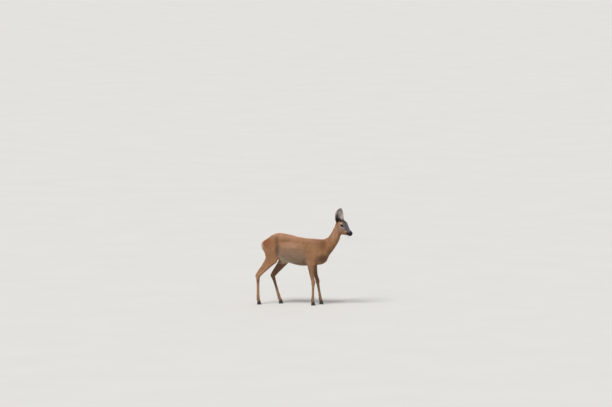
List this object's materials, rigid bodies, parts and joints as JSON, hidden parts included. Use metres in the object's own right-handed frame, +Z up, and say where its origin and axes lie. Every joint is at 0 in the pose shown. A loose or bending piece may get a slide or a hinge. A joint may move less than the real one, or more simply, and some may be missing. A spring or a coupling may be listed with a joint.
{
  "type": "roe deer",
  "caption": "roe deer doe in red summer coat, standing mid-stride with her head raised and turned a little to her right, ears up, life size",
  "frame": {"origin": "on the floor under the middle of the whole box, soles at Z = 0", "axes": "+X the way the body faces, +Y its left, +Z up"},
  "size_m": [0.9808, 0.239, 0.9849],
  "materials": {
    "coat": "short red-brown summer hair",
    "rump_hair": "longer cream hair",
    "ear_coat": "fine short hair, dark at the rim",
    "eye": "wet gloss",
    "nose_leather": "bare moist skin",
    "horn": "smooth worn horn"
  },
  "bodies": {
    "root": {"head": "coat", "lower_jaw": "coat", "neck": "coat", "trunk": "coat", "tail": "rump_hair", "ear_right": "ear_coat", "ear_left": "ear_coat", "eye_right": "eye", "eye_left": "eye", "nose": "nose_leather", "leg_fore_right": "coat", "leg_fore_left": "coat", "leg_hind_right": "coat", "leg_hind_left": "coat", "hoof_fore_right": "horn", "hoof_fore_left": "horn", "hoof_hind_right": "horn", "hoof_hind_left": "horn", "dewclaw_fore_right_inner": "horn", "dewclaw_fore_right_outer": "horn", "dewclaw_fore_left_inner": "horn", "dewclaw_fore_left_outer": "horn", "dewclaw_hind_right_inner": "horn", "dewclaw_hind_right_outer": "horn", "dewclaw_hind_left_inner": "horn", "dewclaw_hind_left_outer": "horn"}
  },
  "joints": []
}
